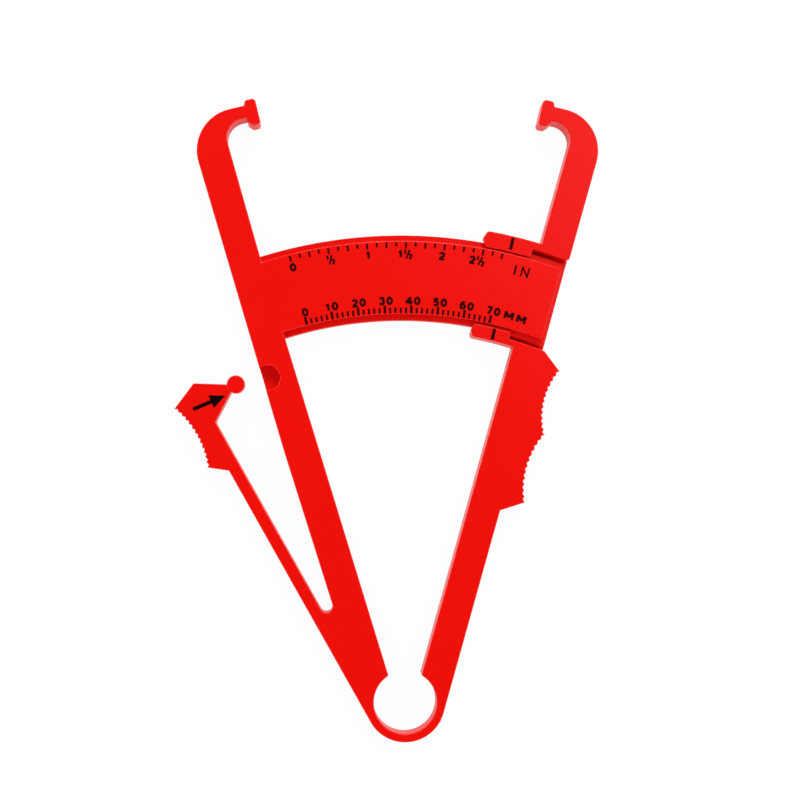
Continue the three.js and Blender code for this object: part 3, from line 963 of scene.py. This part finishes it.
@dataclass
class ThumbLever:
    """The lever's springy blade, its toothed thumb pad and the disc on the pad's neck."""

    plan: Plan
    blade_end: float = 72.8
    blade_steps: int = 28
    low_rise: float = 3.3
    corner_rise: float = 12.2
    corner_radius: float = 0.8
    back_rise: float = 20.0
    top_rise: float = 23.2
    top_radius: float = 0.3
    proud: float = 4.25
    sag: float = 1.5
    teeth: int = 13
    tooth: float = 0.4
    disc_across: float = 9.0
    disc_rise: float = 17.87
    disc_radius: float = 2.24
    disc_step: float = 8.0
    neck: float = 1.25
    neck_run: float = 40.0
    bend_share: float = 0.8
    rim: float = 0.26

    def at(self, across: float, rise: float) -> Vector:
        """Gives a point by its distances from the end of the blade's inner edge."""
        start = self.plan.blade_inner.start
        edge = tilted(-self.plan.blade_tilt, start.x, start.y).x
        return tilted(self.plan.blade_tilt, edge + across, self.blade_end + rise)

    def neck_edge(self, begin: Vector, rise: float) -> Line:
        """Gives the neck's edge from beside the disc's centre back to a corner of the pad."""
        end = self.at(self.disc_across - self.disc_radius, self.disc_rise + rise)
        return Line.through(begin, end).back_from(self.neck_run)

    def pad(self) -> Points:
        """Draws the blade and the pad, as far as the disc."""
        plan, root = self.plan, self.plan.slot_end[0]
        centre = self.at(self.disc_across, self.disc_rise)
        corner, top = self.at(0.0, self.corner_rise), self.at(0.0, self.top_rise)
        low = self.neck_edge(corner, -self.neck).leaves(self.disc_radius, centre)
        high = self.neck_edge(top, self.neck).leaves(self.disc_radius, centre)
        root_outer = plan.blade_outer.foot(root)
        end_inner, end_outer = self.at(0.0, 0.0), self.at(-plan.blade, 0.0)
        back = -plan.blade - self.proud
        ends = self.at(back, self.low_rise), self.at(back, self.back_rise)
        teeth = serrated(*ends, self.sag, self.teeth, self.tooth)
        shares = [i / self.blade_steps for i in range(self.blade_steps + 1)]
        inner = [root.lerp(end_inner, share) for share in shares]
        outer = [end_outer.lerp(root_outer, share) for share in shares]
        fillet = round_corner(end_inner, corner, low, self.corner_radius)
        crown = round_corner(high, top, teeth[-1], self.top_radius)
        return [*inner, *fillet, low, high, *crown, *teeth[::-1], *outer]

    def disc(self) -> Points:
        """Draws the disc."""
        centre = self.at(self.disc_across, self.disc_rise)
        return arc(self.disc_radius, 0.0, 360.0 - self.disc_step, centre, self.disc_step)

    def build(self, finish: bpy.types.Material) -> bpy.types.Object:
        """Builds the lever and puts it in place of its solids.

        Args:
            finish: The moulding's material.

        Returns:
            The piece.
        """
        plan, heights, rim = self.plan, self.plan.heights, Rim(self.rim, self.rim)
        moulding = Moulding("thumb_lever", [plan.blade_root])
        moulding.layer(self.pad(), 0.0, heights.face, rim)
        moulding.layer(self.disc(), heights.disc_back, heights.face, rim)
        piece = moulding.made(finish, Slot.PLASTIC)
        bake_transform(piece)
        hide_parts("lever_blade", "thumb_pad", "snap_disc")
        return piece


# Print


def oval(
    x: float, y: float, half_width: float, half_height: float, begin: float, end: float
) -> Points:
    """Draws an oval stroke about (x, y), between two bearings, in a character's 1 by 1 box."""
    circle = arc(1.0, begin, end, step=18.0)
    return [Vector((x + p.x * half_width, y + p.y * half_height)) for p in circle]


def straight(*ends: tuple[float, float]) -> Points:
    """Draws a stroke of straight runs in a character's box."""
    return [Vector(end) for end in ends]


def upright(x: float) -> Points:
    """Draws an upright stroke that runs a little past a character's box."""
    return straight((x, -0.12), (x, 1.12))


class Character(Enum):
    """Each character's sign, its box's width as a share of its height, and its strokes.

    The strokes are in a plain engineer's hand, as on a steel rule.
    """

    ZERO = ("0", 0.5, oval(0.5, 0.5, 0.5, 0.5, 0.0, 360.0))
    ONE = ("1", 0.34, straight((0.62, 0.0), (0.62, 1.1)), straight((0.72, 1.0), (0.0, 0.72)))
    TWO = (
        "2",
        0.5,
        [*oval(0.5, 0.71, 0.48, 0.29, -75.0, 118.0), Vector((0.06, 0.02))],
        straight((-0.1, 0.0), (1.1, 0.0)),
    )
    THREE = (
        "3",
        0.5,
        oval(0.46, 0.76, 0.44, 0.24, -75.0, 170.0),
        oval(0.46, 0.27, 0.5, 0.27, 5.0, 255.0),
    )
    FOUR = (
        "4",
        0.6,
        straight((0.74, -0.12), (0.74, 1.1)),
        straight((0.8, 1.06), (0.0, 0.26)),
        straight((-0.14, 0.24), (1.2, 0.24)),
    )
    FIVE = (
        "5",
        0.5,
        straight((1.0, 1.0), (0.06, 1.0)),
        straight((0.18, 1.08), (0.1, 0.46)),
        oval(0.46, 0.31, 0.52, 0.31, -52.0, 238.0),
    )
    SIX = (
        "6",
        0.5,
        oval(0.5, 0.3, 0.5, 0.3, 0.0, 360.0),
        oval(0.66, 0.34, 0.66, 0.66, -92.0, 22.0),
    )
    SEVEN = ("7", 0.5, straight((-0.06, 1.0), (1.12, 1.0)), straight((1.0, 0.98), (0.34, -0.12)))
    EYE = ("I", 0.0, upright(0.0))
    EN = ("N", 0.66, upright(0.0), upright(1.0), straight((0.0, 1.0), (1.0, 0.0)))
    EM = (
        "M",
        0.86,
        upright(0.0),
        upright(1.0),
        straight((0.04, 1.06), (0.5, 0.2)),
        straight((0.96, 1.06), (0.5, 0.2)),
    )

    @classmethod
    def drawn(cls, sign: str) -> tuple[float, list[Points]]:
        """Gives the width and the strokes of the character for a sign."""
        _, width, *strokes = next(c.value for c in cls if c.value[0] == sign)
        return width, strokes


@dataclass(frozen=True)
class Lettering:
    """A size and a weight of lettering, in millimetres, and a half's measures as shares."""

    height: float = 2.15
    weight: float = 0.6
    space: float = 0.28
    half_width: float = 0.92
    half_weight: float = 0.8
    half_digit: float = 0.46

    def strokes(self, text: str) -> list[tuple[Points, float]]:
        """Sets a line of characters about its middle.

        Args:
            text: The characters. A half is written as one sign.

        Returns:
            Each stroke's middle line, and its weight as a share of the style's.
        """
        tall = self.height - self.weight
        placed: list[tuple[Points, float]] = []
        x = 0.0
        for sign in text:
            if sign == "½":
                placed += [(stroke, self.half_weight) for stroke in self._half(x)]
                x += self.half_width * self.height + self.space
                continue
            width, strokes = Character.drawn(sign)
            left = x + self.weight / 2
            for stroke in strokes:
                spots = ((left + p.x * width * self.height, (p.y - 0.5) * tall) for p in stroke)
                placed.append((straight(*spots), 1.0))
            x += width * self.height + self.weight + self.space
        middle = Vector(((x - self.space) / 2, 0.0))
        return [([p - middle for p in points], weight) for points, weight in placed]

    def _half(self, left: float) -> list[Points]:
        """Draws a half: a small raised 1, a small low 2 and a slash.

        Args:
            left: The half's left edge.

        Returns:
            The middle line of each stroke.
        """
        small = self.height * self.half_digit
        strokes: list[Points] = []
        for sign, x, y in (("1", 0.02, 0.04), ("2", 0.6, -0.5)):
            width, lines = Character.drawn(sign)
            corner = Vector((left + x * self.height, y * self.height))
            for line in lines:
                strokes.append([corner + Vector((p.x * width * small, p.y * small)) for p in line])
        slash = ((left + x * self.height, y * self.height) for x, y in ((0.24, -0.5), (0.62, 0.5)))
        return [*strokes, straight(*slash)]


@dataclass
class Print:
    """Marks printed in one pass: flat shapes of ink on the caliper's face."""

    name: str
    body: Body
    heights: Heights
    # Strokes of a text take this many heights in turn, so that crossing ones share no plane.
    lifts: int = 4
    stroke_lift: float = 0.003
    # A stroke's corner stands no further out than half the stroke's width over this.
    least_mitre: float = 0.6
    sheet: Moulding = field(init=False)

    def __post_init__(self) -> None:
        """Starts the sheet of ink."""
        self.sheet = Moulding(self.name)

    def shape(self, points: Points) -> None:
        """Prints a filled shape."""
        face = self.heights.face
        self.sheet.layer(points, face - self.heights.ink, face + self.heights.ink, Rim())

    def stroke(self, bearing: float, low: float, high: float, width: float) -> None:
        """Prints a line of a width along a bearing, from a low to a high radius."""
        ends = ((-1, low), (1, low), (1, high), (-1, high))
        self.shape([tilted(bearing, side * (width / 2), radius) for side, radius in ends])

    def ribbon(self, points: Points, width: float, lift: float = 0.0) -> None:
        """Prints a stroke of even width along a path, as a flat sheet.

        Args:
            points: The middle of the stroke.
            width: The stroke's width.
            lift: How far it lies above the sheet.
        """
        closed = (points[0] - points[-1]).length < SAME_POINT
        top = (self.heights.face + self.heights.ink + lift) * MM
        last = len(points) - 1
        ends: list[bmesh.types.BMVert] = []
        for i, point in enumerate(points):
            back = points[i - 1] if i else points[-2] if closed else 2 * point - points[1]
            ahead = points[i + 1] if i < last else points[1] if closed else 2 * point - points[-2]
            first, second = (point - back).normalized(), (ahead - point).normalized()
            along = (first + second).normalized()
            mitre = max(self.least_mitre, along.dot(first))
            right = Vector((along.y, -along.x)) * (width / 2 / mitre)
            for p in (point - right, point + right):
                ends.append(self.sheet.mesh.verts.new((p.x * MM, p.y * MM, top)))
            if i:
                self.sheet.mesh.faces.new((ends[-4], ends[-3], ends[-1], ends[-2]))

    def lettering(self, text: str, bearing: float, radius: float, style: Lettering) -> None:
        """Prints upright lettering on an arc of the scale.

        Args:
            text: The numerals or the letters of a unit.
            bearing: The bearing of their middle.
            radius: The radius of their middle.
            style: How the characters are drawn.
        """
        middle = at_bearing(radius, bearing)
        for i, (stroke, weight) in enumerate(style.strokes(text)):
            drawn = [middle + tilted(bearing, p.x, p.y) for p in stroke]
            self.ribbon(drawn, style.weight * weight, self.stroke_lift * (i % self.lifts))

    def build(self, finish: bpy.types.Material, *stood_for: str) -> bpy.types.Object:
        """Builds the print and puts it in place of its solids.

        Args:
            finish: The ink's material.
            stood_for: The solids that it is shown in place of.

        Returns:
            The piece.
        """
        piece = self.sheet.made(finish, Slot.INK)
        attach(piece, self.body.value)
        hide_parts(*stood_for)
        return piece


@dataclass
class ScalePrint:
    """The two graduations with their numerals and units.

    A mark's place is a pair of its bearing and its radius. Lengths run along a bearing.
    """

    plan: Plan
    zero: float = -14.06
    closing_drop: float = 5.0
    mean_reach: float = 152.9
    fine: float = 0.5
    bold: float = 0.64
    mm_gap: float = 2.0
    mm_margin: float = 0.12
    mm_short: float = 1.42
    mm_long: float = 2.0
    mm_lines: int = 36
    mm_lines_to_ten: int = 5
    mm_numeral_radius: float = 101.5
    mm_numeral_turn: float = 0.19
    mm_unit: tuple[tuple[float, float], ...] = ((15.12, 101.35), (16.93, 101.3))
    inch_gap: float = 25.4 / 8
    inch_margin: float = 0.45
    inch_lengths: tuple[float, ...] = (1.5, 1.05, 1.42, 1.05)
    inch_lines: int = 23
    inch_numeral_radius: float = 113.05
    inch_unit: tuple[tuple[float, float], ...] = ((14.37, 112.8), (15.65, 112.85))
    numerals: Lettering = Lettering()
    unit: Lettering = Lettering(2.15, 0.64)
    tall_unit: Lettering = Lettering(2.5, 0.5)
    thin_unit: Lettering = Lettering(2.5, 0.4)

    def step(self, radius: float, gap: float) -> float:
        """Gives the turn between lines on a radius for a gap by which the jaws open wider."""
        share = (radius + self.closing_drop) / radius
        return math.degrees(share * gap / (self.mean_reach + self.closing_drop))

    def millimetres(self, finish: bpy.types.Material) -> None:
        """Prints the millimetre graduation, with a bold line and a numeral at each ten."""
        page = Print("millimetre_print", Body.FIXED, self.plan.heights)
        inner = self.plan.face_inner + self.mm_margin
        step = self.step(self.plan.face_inner, self.mm_gap)
        for i in range(self.mm_lines):
            short = i % self.mm_lines_to_ten
            length, width = (self.mm_short, self.fine) if short else (self.mm_long, self.bold)
            page.stroke(self.zero + i * step, inner, inner + length, width)
        for i in range(0, self.mm_lines, self.mm_lines_to_ten):
            text, bearing = str(round(i * self.mm_gap)), self.zero + i * step
            place = (bearing + self.mm_numeral_turn, self.mm_numeral_radius)
            page.lettering(text, *place, self.numerals)
        for place in self.mm_unit:
            page.lettering("M", *place, self.unit)
        page.build(finish, "millimetre_graduation")

    def inches(self, finish: bpy.types.Material) -> None:
        """Prints the inch graduation, with a line at each eighth and a numeral at each half."""
        page = Print("inch_print", Body.FIXED, self.plan.heights)
        outer = self.plan.face_outer - self.inch_margin
        step = self.step(self.plan.face_outer, self.inch_gap)
        for i in range(self.inch_lines):
            length = self.inch_lengths[i % len(self.inch_lengths)]
            page.stroke(self.zero + i * step, outer - length, outer, self.fine)
        bearings = (-13.99, -9.13, -4.4, 0.25, 4.91, 9.35)
        for text, bearing in zip(("0", "½", "1", "1½", "2", "2½"), bearings):
            page.lettering(text, bearing, self.inch_numeral_radius, self.numerals)
        page.lettering("I", *self.inch_unit[0], self.tall_unit)
        page.lettering("N", *self.inch_unit[1], self.thin_unit)
        page.build(finish, "inch_graduation")

    def pointers(self, finish: bpy.types.Material) -> None:
        """Prints the index mark on each guide tab."""
        page = Print("index_marks", Body.MOVING, self.plan.heights)
        page.stroke(bearing=13.2, low=117.4, high=120.45, width=0.78)
        page.stroke(bearing=13.6, low=94.5, high=97.3, width=0.84)
        page.build(finish, "upper_index_mark", "lower_index_mark")


@dataclass
class PressArrow:
    """The arrow on the thumb pad, which shows which way to press."""

    lever: ThumbLever
    tip_place: tuple[float, float] = (5.2, 16.85)
    tip_shift: tuple[float, float] = (0.3, -0.06)
    length: float = 8.75
    head_length: float = 3.9
    head_width: float = 3.45
    shaft: float = 0.95
    bearing: float = 66.9

    def build(self, finish: bpy.types.Material) -> None:
        """Prints the arrow."""
        tip = self.lever.at(*self.tip_place) + Vector(self.tip_shift)
        half, thin = self.head_width / 2, self.shaft / 2
        right = ((half, self.head_length), (thin, self.head_length), (thin, self.length))
        left = [(-across, back) for across, back in right[::-1]]
        page = Print("press_arrow_print", Body.LEVER, self.lever.plan.heights)
        corners = ((0.0, 0.0), *right, *left)
        page.shape([tip + tilted(self.bearing, across, -back) for across, back in corners])
        page.build(finish, "press_arrow")


# Studio


@dataclass(frozen=True)
class Lamp:
    """A soft lamp at a direction from the caliper."""

    azimuth: float
    elevation: float
    watts: float
    size_mm: float
    distance_mm: float


@dataclass
class Studio:
    """A white table, soft lamps that stand low round it, and a camera above it."""

    eye_mm: tuple[float, float, float] = (-20.6, 61.85, 300.0)
    middle_mm: tuple[float, float] = (-0.77, 76.77)
    face_mm: float = 5.0
    frame_mm: float = 198.85
    sensor_mm: float = 36.0
    shift: tuple[float, float] = (0.068, 0.08)
    table_half_m: float = 40.0
    table_gap_mm: float = 0.02
    table_white: float = 0.86
    table_glow: float = 1.02
    glow_seen: float = 0.94
    glow_mirrored: float = 0.5
    ring_from: float = 0.1
    ring_full: float = 0.5
    ring_strength: float = 1.53
    ring_inside: float = 42.0
    ring_soft: float = 10.0
    zenith_strength: float = 0.05
    lamps: tuple[Lamp, ...] = (
        Lamp(12.0, 44.0, 3.9, 500.0, 1100.0),
        Lamp(55.0, 62.0, 0.35, 400.0, 1100.0),
    )

    def floor(self) -> bpy.types.Object:
        """Lays the white table, which keeps a faint shadow."""
        data = bpy.data.meshes.new("floor")
        edge = self.table_half_m
        corners = [(x * edge, y * edge, 0.0) for x, y in ((-1, -1), (1, -1), (1, 1), (-1, 1))]
        data.from_pydata(corners, [], [(0, 1, 2, 3)])
        floor = shown(data)
        floor.location = (0.0, 0.0, -self.table_gap_mm * MM)
        table = emptied(bpy.data.materials.new("white_table"))
        ray = add_node(table, "ShaderNodeLightPath").outputs
        either = {"operation": "MAXIMUM"}
        part = {"operation": "MULTIPLY", "1": self.glow_mirrored}
        ways = {"0": ray["Is Glossy Ray"], "1": ray["Is Transmission Ray"]}
        mirrored = add_node(table, "ShaderNodeMath", either, ways)
        dimmed = add_node(table, "ShaderNodeMath", part, {"0": mirrored.outputs[0]})
        ways = {"0": ray["Is Camera Ray"], "1": dimmed.outputs[0]}
        seen = add_node(table, "ShaderNodeMath", either, ways)
        part = {"operation": "MULTIPLY", "1": self.glow_seen}
        share = add_node(table, "ShaderNodeMath", part, {"0": seen.outputs[0]})
        white = {"Color": (self.table_white, self.table_white, self.table_white, 1.0)}
        matt = add_node(table, "ShaderNodeBsdfDiffuse", white)
        glow = add_node(table, "ShaderNodeEmission", {"Strength": self.table_glow})
        both = {"0": share.outputs[0], "1": matt.outputs[0], "2": glow.outputs[0]}
        mix = add_node(table, "ShaderNodeMixShader", {}, both)
        add_node(table, "ShaderNodeOutputMaterial", {}, {"Surface": mix.outputs[0]})
        data.materials.append(table)
        return floor

    def sky(self) -> None:
        """Surrounds the table with a bright soft ring, dim overhead, where the camera is."""
        world = emptied(bpy.data.worlds.new("studio"))
        bpy.context.scene.world = world
        where = add_node(world, "ShaderNodeTexCoord").outputs["Generated"]
        height = add_node(world, "ShaderNodeSeparateXYZ", {}, {"Vector": where}).outputs["Z"]
        fade_from, fade_full = (
            math.cos(math.radians(self.ring_inside + turn))
            for turn in (self.ring_soft, -self.ring_soft)
        )
        levels = {}
        for socket, low, high, level in (
            ("0", self.ring_from, self.ring_full, self.ring_strength),
            ("1", fade_from, fade_full, self.zenith_strength / self.ring_strength),
        ):
            span = {"From Min": low, "From Max": high, "To Min": 1.0, "To Max": level}
            soft = {"interpolation_type": "SMOOTHSTEP", **span}
            change = add_node(world, "ShaderNodeMapRange", soft, {"Value": height})
            levels[socket] = change.outputs["Result"]
        strength = add_node(world, "ShaderNodeMath", {"operation": "MULTIPLY"}, levels)
        white, force = {"Color": (1.0, 1.0, 1.0, 1.0)}, {"Strength": strength.outputs[0]}
        light = add_node(world, "ShaderNodeBackground", white, force)
        add_node(world, "ShaderNodeOutputWorld", {}, {"Surface": light.outputs[0]})

    def light(self) -> None:
        """Sets up the lamps."""
        aim = Vector((*self.middle_mm, 0.0)) * MM
        for i, lamp in enumerate(self.lamps):
            elevation = math.radians(lamp.elevation)
            flat = at_bearing(math.cos(elevation), lamp.azimuth)
            away = Vector((flat.x, flat.y, math.sin(elevation)))
            data = bpy.data.lights.new(f"soft_lamp_{i}", "AREA")
            data.shape = "DISK"
            data.size = lamp.size_mm * MM
            data.energy = lamp.watts
            holder = shown(data)
            holder.location = aim + away * lamp.distance_mm * MM
            holder.rotation_mode = "QUATERNION"
            holder.rotation_quaternion = (-away).to_track_quat("-Z", "Y")

    def camera(self) -> None:
        """Sets up the camera above the caliper's left side, turned a little to its middle."""
        data = bpy.data.cameras.new("camera")
        data.sensor_width = self.sensor_mm
        data.lens = self.sensor_mm * (self.eye_mm[2] - self.face_mm) / self.frame_mm
        data.shift_x, data.shift_y = self.shift
        eye = Vector(self.eye_mm) * MM
        x, y = (mid - part * self.frame_mm for mid, part in zip(self.middle_mm, self.shift))
        ahead = (Vector((x, y, self.face_mm)) * MM - eye).normalized()
        right = ahead.cross(Vector((0.0, 1.0, 0.0))).normalized()
        up = right.cross(ahead)
        holder = shown(data)
        holder.location = eye
        holder.rotation_mode = "QUATERNION"
        holder.rotation_quaternion = Matrix((right, up, -ahead)).transposed().to_quaternion()
        bpy.context.scene.camera = holder

    def set_up(self) -> None:
        """Builds the whole studio."""
        self.camera()
        self.floor()
        self.sky()
        self.light()
        bpy.context.scene.view_settings.view_transform = "Standard"


def main() -> None:
    """Builds the caliper and its studio."""
    logging.basicConfig(level=logging.INFO, format="%(name)s: %(message)s")
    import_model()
    plan = Plan()
    plastic = MouldedAcetal().made()
    ink = PadPrintedInk().made()
    solid_ink = PadPrintedInk("pad_printed_black_ink_solid", "#100101", "#260302").made()
    lever = ThumbLever(plan)
    for member in (LeftFrame(plan), RightArm(plan), lever):
        LOG.info("placed %s", member.build(plastic).name)
    scale = ScalePrint(plan)
    scale.millimetres(ink)
    scale.inches(ink)
    scale.pointers(ink)
    PressArrow(lever).build(solid_ink)
    Studio().set_up()


if __name__ == "__main__":
    main()
